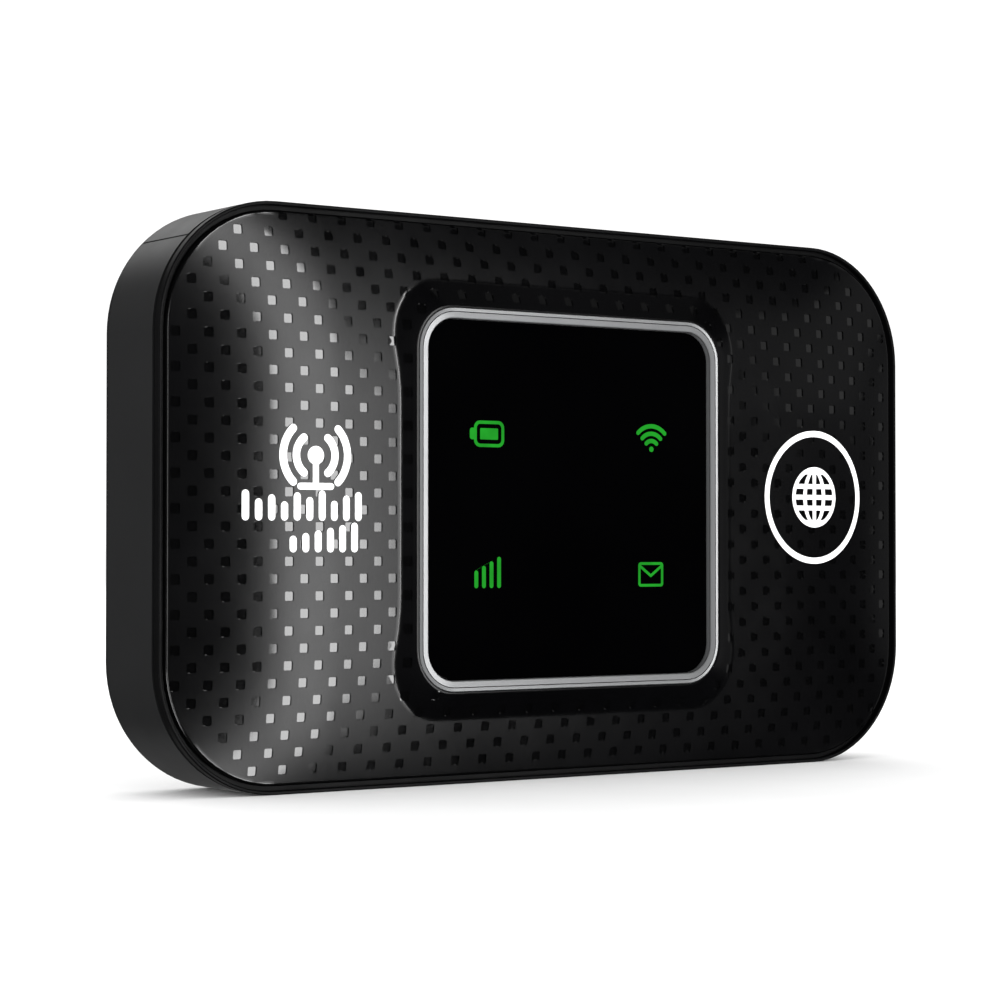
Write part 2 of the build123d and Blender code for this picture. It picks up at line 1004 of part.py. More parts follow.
# ------------------------------------------------------------------ fasteners
with BuildPart() as board_screws:
    rods(screw_head_radius, board_setback - screw_head_height, board_setback, board_screw_centres)
    rods(screw_radius, board_setback, board_back + board_screw_bite - press_gap, board_screw_centres)
    drive_front = board_setback - screw_head_height
    rods(drive_radius, drive_front, drive_front + drive_depth, board_screw_centres, cut)

with BuildPart() as housing_screws:
    rods(screw_head_radius, floor_back, floor_back + screw_head_height, housing_screw_centres)
    rods(screw_radius, screw_end, floor_back, housing_screw_centres)
    drive_back = floor_back + screw_head_height
    rods(drive_radius, drive_back - drive_depth, drive_back, housing_screw_centres, cut)

# --------------------------------------------------------------------- output
pieces = {
    "front_cover": front_cover,
    "window_ring": window_ring,
    "window_lens": window_lens,
    "lens_gasket": lens_gasket,
    "trim_frame": trim_frame,
    "top_strip": top_strip,
    "rear_housing": rear_housing,
    "battery_cover": battery_cover,
    "power_button": power_button,
    "pairing_button": pairing_button,
    "power_switch": power_switch,
    "pairing_switch": pairing_switch,
    "reset_switch": reset_switch,
    "reset_plunger": reset_plunger,
    "main_board": main_board,
    "modem_shield": modem_shield,
    "radio_shield": radio_shield,
    "modem_chip": modem_chip,
    "memory_chip": memory_chip,
    "radio_chip": radio_chip,
    "power_chip": power_chip,
    "board_capacitors": board_capacitors,
    "power_inductors": power_inductors,
    "thermal_pad": thermal_pad,
    "light_baffle": light_baffle,
    "diffuser_sheet": diffuser_sheet,
    "status_leds": status_leds,
    "battery_pack": battery_pack,
    "battery_contacts": battery_contacts,
    "battery_connector": battery_connector,
    "battery_springs": battery_springs,
    "battery_pads": battery_pads,
    "card_socket": card_socket,
    "subscriber_card": subscriber_card,
    "memory_card_socket": memory_card_socket,
    "data_port_shell": data_port_shell,
    "data_port_tongue": data_port_tongue,
    "main_antenna": main_antenna,
    "diversity_antenna": diversity_antenna,
    "wireless_antenna": wireless_antenna,
    "antenna_springs": antenna_springs,
    "board_screws": board_screws,
    "housing_screws": housing_screws,
}

os.makedirs("parts", exist_ok=True)
for name, piece in pieces.items():
    piece.part.label = name
    export_step(piece.part, f"parts/{name}.step")
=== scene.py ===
import json
import math

import bpy
import numpy as np
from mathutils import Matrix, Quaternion, Vector
from mathutils.geometry import delaunay_2d_cdt


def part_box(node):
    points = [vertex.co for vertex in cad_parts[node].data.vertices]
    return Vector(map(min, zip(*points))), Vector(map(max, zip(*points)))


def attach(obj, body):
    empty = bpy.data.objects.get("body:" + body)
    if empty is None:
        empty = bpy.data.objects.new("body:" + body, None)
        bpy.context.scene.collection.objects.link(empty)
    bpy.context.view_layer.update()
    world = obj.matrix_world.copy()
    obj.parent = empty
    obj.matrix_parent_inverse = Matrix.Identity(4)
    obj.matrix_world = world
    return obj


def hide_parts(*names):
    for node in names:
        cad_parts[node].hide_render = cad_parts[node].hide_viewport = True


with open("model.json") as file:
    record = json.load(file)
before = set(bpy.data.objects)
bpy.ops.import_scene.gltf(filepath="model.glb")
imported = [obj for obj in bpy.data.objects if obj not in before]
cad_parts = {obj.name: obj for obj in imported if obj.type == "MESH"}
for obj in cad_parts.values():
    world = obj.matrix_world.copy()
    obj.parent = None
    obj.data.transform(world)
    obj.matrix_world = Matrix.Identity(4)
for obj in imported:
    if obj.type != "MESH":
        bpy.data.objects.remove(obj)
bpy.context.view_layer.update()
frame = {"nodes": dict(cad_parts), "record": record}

# The face is drawn in millimetres: u to the right and v up from its centre, w out of the rim.
# A rounded rectangle is given as half its width, half its height and its corner radius.
MM = 0.001
CORNER = 13.3

# Dome: how high it rises, and how far in from the housing's outline it levels out.
RISE, RUN = 1.85, 20.0

# Front cover: how far in its edge lies, the radius that its edge is rolled to, the height of its
# lower edge, and its thickness under the dome.
COVER_INSET, ROLL, SKIRT, SHELL = 0.85, 0.35, -0.3, 1.0

# Band round the window: t is 0 at its lip. By t = 1 its half width, half height and corner radius
# have grown by the runs, and it has come down by the fall.
LIP_HALF, LIP_CORNER, LIP_HEIGHT = 20.4, 4.7, 2.3
SIDE_RUN, END_RUN, CORNER_RUN, FALL = 4.72, 2.65, 3.3, 1.24
LIP_BLEND, FOOT_BLEND = 0.05, 0.09
BAND_ARC, BAND_SIDE = 14, 16
CREASE = 0.025

# Window: the pocket that holds the ring, the height of its floor, and the opening behind the lens.
# Out to THICK_HALF the cover is solid behind the face.
POCKET, LEDGE = (20.25, 20.25, 4.55), 0.6
OPENING = (18.05, 18.05, 2.35)
THICK_HALF, THICK_STEP = 21.45, 0.05

# Screw bosses: their radii, the height that they reach down to, and the height of the bore's floor.
BOSS_RADIUS, BORE_RADIUS, BOSS_END, BORE_END = 2.1, 0.85, -5.2, -2.2
SCREW_HEAD = 1.4

# Dots: neighbours in a row are a pitch apart, and every other row is set off by half of it.
DOT_PITCH, DOT_HALF, DOT_CORNER, DOT_DEPTH, DOT_FLOOR = 3.506, 0.5, 0.15, 0.12, 0.93
DOT_ORIGIN = (-38.91, 7.58)
DOT_COLUMNS, DOT_ROWS = (-8, 54), (-14, 24)
DOT_CUT = 0.04
EDGE_CLEAR, BAND_CLEAR = 0.03, 0.02

# Window ring: two slopes that fall away from a groove, whose sides are distances inwards.
RING_CORNER, RING_WIDTH, RING_DIP, RING_GROOVE = 4.5, 1.2, 0.04, (0.43, 0.52)

# Seams of the top strip, each drawn as a thin near-black strip of painted shade for the shade in its
# gap: their angle round the corner and half their width, in degrees, and how far they stand out of the
# wall.
SEAM_AT, SEAM_HALF, SEAM_PROUD = 45, 0.45, 0.004

# Thickness of the prints on the face and of the symbols on the lens.
PRINT_THICK, SYMBOL_THICK = 0.02, 0.03

NEAR = 1e-4
FRONT, BACK = np.array([0, -1.0, 0]), np.array([0, 1.0, 0])
QUARTERS = ((1, 1), (-1, 1), (-1, -1), (1, -1))

low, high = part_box("rear_housing")
HALF_W = (high.x - low.x) / 2 / MM
HALF_H = (high.z - low.z) / 2 / MM
CENTRE_X, CENTRE_Z = (high.x + low.x) / 2, (high.z + low.z) / 2
RIM_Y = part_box("front_cover")[0].y + LIP_HEIGHT * MM
LENS_FRONT = (RIM_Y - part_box("window_lens")[0].y) / MM
COVER = (HALF_W - COVER_INSET, HALF_H - COVER_INSET, CORNER - COVER_INSET)


def place(u, v, w):
    """Points of the face in the row frame, in metres."""
    u, v, w = np.broadcast_arrays(np.asarray(u, float), v, w)
    return np.stack([CENTRE_X + u * MM, RIM_Y - w * MM, CENTRE_Z + v * MM], axis=-1)


def lift(plan, w):
    """Points of a plan, at a height."""
    return place(plan[:, 0], plan[:, 1], w)


# ------------------------------------------------------------------ shape of the face
def box_distance(u, v, half_w, half_h, corner):
    """Signed distance to a rounded rectangle, negative inside."""
    qx, qy = np.abs(u) - half_w + corner, np.abs(v) - half_h + corner
    outside = np.hypot(np.maximum(qx, 0), np.maximum(qy, 0))
    return outside + np.minimum(np.maximum(qx, qy), 0) - corner


def inset(u, v):
    """How far in from the housing's outline."""
    return -box_distance(u, v, HALF_W, HALF_H, CORNER)


def dome(u, v):
    """Height of the dome: a crown across the length times one across the height."""
    across = 1 - (1 - np.clip(HALF_W - np.abs(u), 0, RUN) / RUN) ** 2
    upward = 1 - (1 - np.clip(HALF_H - np.abs(v), 0, RUN) / RUN) ** 2
    return RISE * across * upward


def roll(s):
    """How far the rolled edge falls below the dome."""
    gap = np.clip(ROLL - (s - COVER_INSET), 0, ROLL)
    return ROLL - np.sqrt(ROLL ** 2 - gap ** 2)


def smooth_max(a, b, k):
    """The larger of two heights, rounded off where they are within k."""
    h = np.maximum(k - np.abs(a - b), 0) / k
    return np.maximum(a, b) + h * h * k / 4


def search(start, end, rounds, holds):
    """Where a test stops holding, found by halving between two arrays."""
    for _ in range(rounds):
        t = (start + end) / 2
        held = holds(t)
        start, end = np.where(held, t, start), np.where(held, end, t)
    return (start + end) / 2


def band_outline(t):
    """The band's rounded rectangle."""
    return LIP_HALF + SIDE_RUN * t, LIP_HALF + END_RUN * t, LIP_CORNER + CORNER_RUN * t


def band(u, v):
    """Height of the raised band: rounded rectangles that widen from its lip to its base."""
    start, end = np.full(np.shape(u), -0.3), np.full(np.shape(u), 3.0)
    found = search(start, end, 34, lambda t: box_distance(u, v, *band_outline(t)) > 0)
    return -smooth_max(-LIP_HEIGHT, -(LIP_HEIGHT - FALL * found), LIP_BLEND)


def height(u, v):
    """Height of the face."""
    return smooth_max(dome(u, v) - roll(inset(u, v)), band(u, v), FOOT_BLEND)


def normals(u, v, step=0.01):
    """Unit normals of the face, in the row frame."""
    du = (height(u + step, v) - height(u - step, v)) / (2 * step)
    dv = (height(u, v + step) - height(u, v - step)) / (2 * step)
    found = np.stack([-du, -np.ones_like(du), -dv], axis=-1)
    return found / np.linalg.norm(found, axis=-1, keepdims=True)


def face_normals(u, v, step=0.01):
    """Normals of the face, which turn straight outwards along the rolled edge."""
    turn = np.clip((ROLL - (inset(u, v) - COVER_INSET)) / ROLL, 0, 1)
    out_u = -(inset(u + step, v) - inset(u - step, v)) / (2 * step)
    out_v = -(inset(u, v + step) - inset(u, v - step)) / (2 * step)
    outward = np.stack([out_u, np.zeros_like(out_u), out_v], axis=-1)
    rolled = outward * turn[:, None] + FRONT * np.sqrt(1 - turn ** 2)[:, None]
    return np.where((turn > 0)[:, None], rolled, normals(u, v))


# ------------------------------------------------------------------ loops and triangles
def fill_run(points, count_for):
    """Adds points along the sides of a closed loop. count_for gives how many parts a side has."""
    out = []
    for here, there in zip(points, np.roll(points, -1, 0)):
        parts = max(1, count_for(np.linalg.norm(there - here)))
        out += [here + (there - here) * k / parts for k in range(parts)]
    return np.array(out)


def rounded_loop(half_w, half_h, corner, arc, run=2.0):
    """Points round a rounded rectangle, anticlockwise."""
    points = []
    for k, (sx, sy) in enumerate(QUARTERS):
        cx, cy = sx * (half_w - corner), sy * (half_h - corner)
        for step in range(arc + 1):
            angle = math.pi / 2 * (k + step / arc)
            points.append((cx + corner * math.cos(angle), cy + corner * math.sin(angle)))
    return fill_run(np.array(points), lambda length: int(length / run))


def band_loop(t):
    """Points round the band: as many for each t, which may differ between them."""
    t = np.broadcast_to(t, (4 * (BAND_ARC + BAND_SIDE),))
    half_w, half_h, corner = band_outline(t)
    points = []
    for k, (sx, sy) in enumerate(QUARTERS):
        ex, ey = QUARTERS[(k + 1) % 4]
        for step in range(BAND_ARC + BAND_SIDE):
            at = k * (BAND_ARC + BAND_SIDE) + step
            r, w, h = corner[at], half_w[at] - corner[at], half_h[at] - corner[at]
            angle = math.pi / 2 * (k + min(step / BAND_ARC, 1))
            share = max(step - BAND_ARC, 0) / BAND_SIDE
            cx, cy = w * (sx + (ex - sx) * share), h * (sy + (ey - sy) * share)
            points.append((cx + r * math.cos(angle), cy + r * math.sin(angle)))
    return np.array(points)


def band_foot():
    """The t where the band meets the dome, all round."""
    count = 4 * (BAND_ARC + BAND_SIDE)
    return search(np.zeros(count), np.full(count, 1.4), 30,
                  lambda t: dome(*band_loop(t).T) < LIP_HEIGHT - FALL * t)


def loop_normal(loop, sign):
    """Normals across a loop, outwards for sign 1 and inwards for -1."""
    along = np.roll(loop, -1, 0) - np.roll(loop, 1, 0)
    found = np.stack([along[:, 1], np.zeros(len(loop)), -along[:, 0]], axis=-1) * sign
    return found / np.linalg.norm(found, axis=1, keepdims=True)


def triangulate(loops, spots=()):
    """Points, triangles that keep to every closed loop, and the triangles' middles."""
    points, edges = [], []
    for loop in loops:
        first, count = len(points), len(loop)
        points += [tuple(p) for p in loop]
        edges += [(first + k, first + (k + 1) % count) for k in range(count)]
    points += [tuple(p) for p in spots]
    found = delaunay_2d_cdt([Vector(p) for p in points], edges, [], 0, 1e-5)
    plan, triangles = np.array([tuple(p) for p in found[0]]), np.array([tuple(f) for f in found[2]])
    return plan, triangles, plan[triangles].mean(axis=1)


def inside(points, loop):
    """Which points lie inside a loop."""
    found = np.zeros(len(points), bool)
    x, y = points[:, 0], points[:, 1]
    for (x0, y0), (x1, y1) in zip(loop, np.roll(loop, -1, 0)):
        crosses = (y0 > y) != (y1 > y)
        with np.errstate(divide="ignore", invalid="ignore"):
            found ^= crosses & (x < (x1 - x0) * (y - y0) / (y1 - y0) + x0)
    return found


def facing(normal, points):
    """The same normal for each point."""
    return np.tile(normal, (len(points), 1))


# ------------------------------------------------------------------ mesh from its faces
class Shell:
    """Collects faces with a normal at each corner and a material each."""

    def __init__(self):
        self.points, self.faces, self.normals, self.slots = [], [], [], []

    def add(self, points, faces, given, slot=0):
        """given has one normal for each point."""
        first = sum(len(p) for p in self.points)
        self.points.append(np.asarray(points, float).reshape(-1, 3))
        for face in faces:
            self.faces.append([first + int(k) for k in face])
            self.normals += [tuple(given[int(k)]) for k in face]
            self.slots.append(slot)

    def strip(self, outer, inner, given, slot=0):
        """Quads between two closed loops of as many points, which share their normals."""
        count = len(outer)
        faces = [(k, (k + 1) % count, count + (k + 1) % count, count + k) for k in range(count)]
        self.add(np.concatenate([outer, inner]), faces, np.concatenate([given, given]), slot)

    def wall(self, loop, top, base, sign, slot):
        """A wall between two heights of one loop."""
        self.strip(lift(loop, top), lift(loop, base), loop_normal(loop, sign), slot)

    def build(self, name, materials, body="case"):
        """The piece, each face turned to agree with its normals."""
        mesh = bpy.data.meshes.new(name)
        points = np.concatenate(self.points)
        faces, corner_normals = [], []
        at = 0
        for face in self.faces:
            given = np.array(self.normals[at:at + len(face)])
            at += len(face)
            a, b, c = (points[face[k]] for k in range(3))
            if np.dot(np.cross(b - a, c - a), given.sum(0)) < 0:
                face, given = face[::-1], given[::-1]
            faces.append(face)
            corner_normals += [tuple(n) for n in given]
        mesh.from_pydata([tuple(p) for p in points], [], faces)
        mesh.polygons.foreach_set("material_index", self.slots)
        mesh.polygons.foreach_set("use_smooth", [True] * len(faces))
        mesh.normals_split_custom_set(corner_normals)
        mesh.update()
        piece = bpy.data.objects.new(name, mesh)
        bpy.context.scene.collection.objects.link(piece)
        for material in materials:
            mesh.materials.append(material)
        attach(piece, body)
        return piece


# ------------------------------------------------------------------ materials
def new_material(name, colour, rough, metallic=0.0, specular=0.5):
    material = bpy.data.materials.new(name)
    material.use_nodes = True
    shader = material.node_tree.nodes["Principled BSDF"]
    shader.inputs["Base Color"].default_value = (*colour, 1)
    shader.inputs["Roughness"].default_value = rough
    shader.inputs["Metallic"].default_value = metallic
    shader.inputs["IOR"].default_value = 1.5
    shader.inputs["Specular IOR Level"].default_value = specular
    return material, material.node_tree, shader


def noise(tree, scale, detail=2.0, stretch=(1, 1, 1), kind="ShaderNodeTexNoise"):
    """A pattern in the row frame, whose scale counts features in a metre."""
    where = tree.nodes.new("ShaderNodeTexCoord")
    mapping = tree.nodes.new("ShaderNodeMapping")
    mapping.inputs["Scale"].default_value = [scale * k for k in stretch]
    tree.links.new(where.outputs["Object"], mapping.inputs["Vector"])
    pattern = tree.nodes.new(kind)
    tree.links.new(mapping.outputs["Vector"], pattern.inputs["Vector"])
    pattern.inputs["Scale"].default_value = 1.0
    if kind == "ShaderNodeTexNoise":
        pattern.inputs["Detail"].default_value = detail
    return pattern.outputs[0]


def spread(tree, value, low_value, high_value, start=0.3, end=0.7):
    """Maps a pattern's values between two others."""
    ramp = tree.nodes.new("ShaderNodeMapRange")
    ramp.inputs["From Min"].default_value = start
    ramp.inputs["From Max"].default_value = end
    ramp.inputs["To Min"].default_value = low_value
    ramp.inputs["To Max"].default_value = high_value
    tree.links.new(value, ramp.inputs["Value"])
    return ramp.outputs["Result"]


def uneven_gloss(tree, shader, pattern, least, most):
    """Varies the roughness by a pattern."""
    tree.links.new(spread(tree, pattern, least, most), shader.inputs["Roughness"])


def tint(tree, socket, value, first, second, start=0.3, end=0.7):
    """Mixes two colours by a pattern, for a colour socket."""
    mix = tree.nodes.new("ShaderNodeMix")
    mix.data_type = "RGBA"
    mix.inputs["A"].default_value = (*first, 1)
    mix.inputs["B"].default_value = (*second, 1)
    tree.links.new(spread(tree, value, 0, 1, start, end), mix.inputs["Factor"])
    tree.links.new(mix.outputs["Result"], socket)


def bump(tree, shader, value, depth):
    """Raises the surface by a pattern. depth is in metres."""
    node = tree.nodes.new("ShaderNodeBump")
    node.inputs["Strength"].default_value = 1.0
    node.inputs["Distance"].default_value = depth
    tree.links.new(value, node.inputs["Height"])
    tree.links.new(node.outputs["Normal"], shader.inputs["Normal"])


def scaled(colour, factor):
    return tuple(min(1.0, c * factor) for c in colour)


def moulded(name, colour, rough, grain=9000, depth=6e-6, specular=0.4, vary=0.25, soft=0.05):
    """Moulded plastic: fine spark grain, slightly uneven gloss and colour."""
    material, tree, shader = new_material(name, colour, rough, specular=specular)
    mottle, patches = noise(tree, 90, 3), noise(tree, 260, 4)
    tint(tree, shader.inputs["Base Color"], mottle, scaled(colour, 1 - vary), scaled(colour, 1 + vary))
    uneven_gloss(tree, shader, patches, rough - soft, rough + soft)
    bump(tree, shader, noise(tree, grain, 2), depth)
    return material


def metal(name, colour, rough, stretch=(1, 1, 1), grain=4000, depth=2e-6, metallic=1.0, soft=0.06):
    """Sheet metal or plating with a drawn grain."""
    material, tree, shader = new_material(name, colour, rough, metallic)
    drawn, patches = noise(tree, grain, 3, stretch), noise(tree, 300, 3)
    tint(tree, shader.inputs["Base Color"], drawn, scaled(colour, 0.94), scaled(colour, 1.04))
    uneven_gloss(tree, shader, patches, rough - soft, rough + soft)
    bump(tree, shader, drawn, depth)
    return material


def glow(name, colour, base=(0.02, 0.05, 0.02)):
    """A lit symbol or lamp, a little uneven as it is lit from one point."""
    material, tree, shader = new_material(name, base, 0.5, specular=0.02)
    mottle, lit = noise(tree, 700, 2), noise(tree, 500, 2)
    tint(tree, shader.inputs["Base Color"], mottle, scaled(base, 0.8), scaled(base, 1.2))
    tint(tree, shader.inputs["Emission Color"], lit, scaled(colour, 0.85), scaled(colour, 1.15))
    shader.inputs["Emission Strength"].default_value = 1.0
    return material


def solder_mask(name, colour):
    """A circuit board: mask over fine tracks."""
    material, tree, shader = new_material(name, colour, 0.3)
    tracks = noise(tree, 600, kind="ShaderNodeTexBrick")
    brick = tracks.node
    brick.inputs["Mortar Size"].default_value = 0.06
    brick.inputs["Color1"].default_value = (1, 1, 1, 1)
    brick.inputs["Color2"].default_value = (0.6, 0.6, 0.6, 1)
    brick.inputs["Mortar"].default_value = (0, 0, 0, 1)
    tint(tree, shader.inputs["Base Color"], tracks, scaled(colour, 0.6), scaled(colour, 1.5), 0, 1)
    uneven_gloss(tree, shader, noise(tree, 400, 2), 0.25, 0.4)
    bump(tree, shader, tracks, 2e-5)
    return material


def smoked(name, colour, light, dark):
    """Opaque black glass, between two shades."""
    material, tree, shader = new_material(name, colour, 0.03, specular=0.02)
    tint(tree, shader.inputs["Base Color"], noise(tree, 60, 2), dark, light)
    uneven_gloss(tree, shader, noise(tree, 150, 3), 0.02, 0.035)
    return material


face_satin = moulded("face_satin", (0.0011, 0.0011, 0.0013), 0.19, grain=7000, depth=8e-7,
                     specular=0.13, vary=0.2, soft=0.012)
face_polished = moulded("face_polished", (0.0011, 0.0011, 0.0012), 0.08, grain=900, depth=2e-7,
                        vary=0.2, soft=0.02)
face_edge = moulded("face_edge", (0.0011, 0.0011, 0.0012), 0.16, grain=7000, depth=4e-7,
                    specular=0.5, vary=0.2, soft=0.02)
face_inside = moulded("face_inside", (0.02, 0.02, 0.021), 0.6)
print_white = moulded("print_white", (0.86, 0.86, 0.86), 0.5, grain=5000, depth=1e-6, vary=0.03, soft=0.04)
icon_green = glow("icon_green", (0.012, 0.33, 0.018), (0.001, 0.004, 0.001))
# Painted seam shade: a near-black matt finish for the seams of the top strip and the ring's groove,
# standing in for the shade inside them.
painted_seam_shade = moulded("painted_seam_shade", (0.0008, 0.0008, 0.0008), 0.8, specular=0.05)
lens_smoke = smoked("lens_smoke", (0.0004, 0.0004, 0.0005), light=(0.0005, 0.0005, 0.0006),
                    dark=(0.0003, 0.0003, 0.0004))

finishes = {
    "shell_face": face_satin,
    "shell_side": moulded("side_satin", (0.0074, 0.0076, 0.008), 0.42, grain=5200, depth=5e-6,
                          specular=0.25, vary=0.06, soft=0.02),
    "trim_black": moulded("trim_satin", (0.0018, 0.0018, 0.002), 0.36, grain=7000, depth=2e-6,
                          specular=0.04),
    "ring_silver": metal("ring_satin", (0.125, 0.127, 0.13), 0.26, grain=16000, depth=2e-7,
                         metallic=0.22, soft=0.012),
    "lens_black": lens_smoke,
    "button_black": moulded("button_satin", (0.015, 0.015, 0.016), 0.36, grain=8000, depth=2e-6),
    "inner_plastic": moulded("inner_matt", (0.05, 0.05, 0.054), 0.55),
    "white_plastic": moulded("inner_white", (0.78, 0.78, 0.76), 0.5, vary=0.04),
    "diffuser": moulded("diffuser_film", (0.82, 0.84, 0.82), 0.6, vary=0.03),
    "board_green": solder_mask("board_mask", (0.012, 0.09, 0.05)),
    "chip_black": moulded("chip_epoxy", (0.02, 0.02, 0.021), 0.5, grain=12000, depth=4e-6),
    "ceramic": moulded("ceramic_body", (0.42, 0.3, 0.19), 0.45, grain=9000, vary=0.12),
    "tinned_steel": metal("tinned_sheet", (0.62, 0.63, 0.64), 0.3, (1, 1, 12), 2500),
    "gold_plate": metal("gold_plating", (0.83, 0.6, 0.26), 0.28, (1, 8, 1), 3000),
    "screw_steel": metal("screw_black", (0.2, 0.2, 0.21), 0.4, grain=6000),
    "pack_wrap": moulded("pack_film", (0.07, 0.07, 0.078), 0.33, grain=1500, depth=1e-5),
    "foam": moulded("foam_cells", (0.03, 0.03, 0.03), 0.9, grain=4000, depth=6e-5),
    "thermal_grey": moulded("thermal_pad", (0.4, 0.42, 0.45), 0.7, grain=3000, depth=1e-5),
    "led_green": glow("lamp_green", (0.06, 0.5, 0.08)),
    "card_plastic": moulded("card_face", (0.8, 0.8, 0.81), 0.4, vary=0.04),
    "flex_copper": moulded("antenna_flex", (0.06, 0.055, 0.05), 0.45, vary=0.2),
}
for part in frame["record"]["subparts"]:
    node = frame["nodes"][part["node"]]
    node.data.materials.clear()
    node.data.materials.append(finishes[part["material_slot"]])

# ------------------------------------------------------------------ front cover
SATIN, POLISHED, INSIDE, EDGE = range(4)
cover = Shell()
outline, pocket, opening = rounded_loop(*COVER, 16), rounded_loop(*POCKET, 10), rounded_loop(*OPENING, 10)
foot = band_foot()
rings = [outline, pocket]
for gap in (0.02, 0.07, 0.15, 0.25, 0.35, 0.6, 1.6):
    inset_by = COVER_INSET + gap
    rings.append(rounded_loop(HALF_W - inset_by, HALF_H - inset_by, CORNER - inset_by, 16))
for out in (0.04, 0.09, 0.15, 0.21, 0.28):
    rings.append(rounded_loop(POCKET[0] + out, POCKET[1] + out, POCKET[2] + out, 10))
rings.append(band_loop(foot * 0.5))
for beside in (-0.09, -0.05, -CREASE, 0, CREASE, 0.05, 0.09, 0.16):
    rings.append(band_loop(foot + beside))

# A dot lies on every other point of the grid that is clear of the edge and the band.
half_pitch = DOT_PITCH / 2
columns, rows = np.meshgrid(np.arange(*DOT_COLUMNS), np.arange(*DOT_ROWS))
grid_u = DOT_ORIGIN[0] + columns * half_pitch
grid_v = DOT_ORIGIN[1] - rows * half_pitch
corner_reach = DOT_HALF - DOT_CUT
corner_gap = inset(np.abs(grid_u) + corner_reach, np.abs(grid_v) + corner_reach)
edge_gap = np.minimum(corner_gap, inset(grid_u, grid_v) - DOT_HALF)
band_gap = box_distance(grid_u, grid_v, LIP_HALF, LIP_HALF, LIP_CORNER) - DOT_HALF
clear = (edge_gap > COVER_INSET + EDGE_CLEAR) & (band_gap > BAND_CLEAR)
dotted = clear & ((columns + rows) % 2 == 0)
between = clear & ~dotted
dot_shape = rounded_loop(DOT_HALF, DOT_HALF, DOT_CORNER, 2, 9)
centres = np.stack([grid_u[dotted], grid_v[dotted]], axis=-1)
spots = np.stack([grid_u[between], grid_v[between]], axis=-1)

# The face is every triangle between the outline and the pocket that isn't in a dot.
plan, triangles, middles = triangulate(rings + [centre + dot_shape for centre in centres], spots)
middle_u, middle_v = middles.T
column = np.round((middle_u - DOT_ORIGIN[0]) / half_pitch).astype(int)
row = np.round((DOT_ORIGIN[1] - middle_v) / half_pitch).astype(int)
off_u = np.abs(middle_u - DOT_ORIGIN[0] - column * half_pitch)
off_v = np.abs(DOT_ORIGIN[1] - row * half_pitch - middle_v)
on_dot = dotted[np.clip(row - DOT_ROWS[0], 0, len(dotted) - 1),
                np.clip(column - DOT_COLUMNS[0], 0, len(dotted[0]) - 1)]
in_square = np.maximum(off_u, off_v) < DOT_HALF - NEAR
in_corners = off_u + off_v < 2 * DOT_HALF - (2 - math.sqrt(2)) * DOT_CORNER
on_face = (box_distance(middle_u, middle_v, *COVER) < NEAR) & (
    box_distance(middle_u, middle_v, *POCKET) > -NEAR) & ~(on_dot & in_square & in_corners)
on_crease = inside(middles, band_loop(foot + CREASE)) & ~inside(middles, band_loop(foot - CREASE))
glossy = (inset(middle_u, middle_v) < COVER_INSET + ROLL) | on_crease
surface, surface_normal = lift(plan, height(*plan.T)), face_normals(*plan.T)
cover.add(surface, triangles[on_face & ~glossy], surface_normal, SATIN)
cover.add(surface, triangles[on_face & glossy], surface_normal, EDGE)

# Dots: small square recesses with polished floors that follow the face.
count = len(dot_shape)
inward = -dot_shape / np.linalg.norm(dot_shape, axis=1, keepdims=True)
wall_normal = np.stack([inward[:, 0], np.full(count, -0.35), inward[:, 1]], axis=-1)
wall_normal /= np.linalg.norm(wall_normal, axis=1, keepdims=True)
fan = [(k, (k + 1) % count, count) for k in range(count)]
for centre in centres:
    rim = centre + dot_shape
    floor = np.concatenate([centre + dot_shape * DOT_FLOOR, [centre]])
    floor_points = lift(floor, height(*floor.T) - DOT_DEPTH)
    cover.strip(lift(rim, height(*rim.T)), floor_points[:-1], wall_normal, POLISHED)
    cover.add(floor_points, fan, normals(*floor.T), POLISHED)

# The outer edge, the pocket and its floor, and the opening.
cover.wall(outline, height(*outline.T), SKIRT, 1, SATIN)
cover.wall(pocket, height(*pocket.T), LEDGE, -1, INSIDE)
plan, triangles, middles = triangulate([pocket, opening])
on_ledge = (box_distance(*middles.T, *POCKET) < 0) & (box_distance(*middles.T, *OPENING) > 0)
cover.add(lift(plan, LEDGE), triangles[on_ledge], facing(FRONT, plan), INSIDE)
cover.wall(opening, LEDGE, SKIRT, -1, INSIDE)

# The inside follows the dome, and is solid round the window.
inner_rings = [outline, opening]
for out in (0, THICK_STEP):
    inner_rings.append(rounded_loop(THICK_HALF + out, THICK_HALF + out, POCKET[2], 6))
for inset_by in (4.5, 8.0, 12.0, 16.0, 20.0):
    corner = max(CORNER - inset_by, 0.5)
    inner_rings.append(rounded_loop(HALF_W - inset_by, HALF_H - inset_by, corner, 10))
plan, triangles, middles = triangulate(inner_rings)
under_face = (inset(*middles.T) > COVER_INSET - NEAR) & (box_distance(*middles.T, *OPENING) > -NEAR)
thick_half = THICK_HALF + 0.4 * THICK_STEP
thick = box_distance(*plan.T, thick_half, thick_half, POCKET[2]) < 0
under = np.where(thick, SKIRT, np.maximum(dome(*plan.T) - SHELL, SKIRT))
cover.add(lift(plan, under), triangles[under_face], facing(BACK, plan), INSIDE)

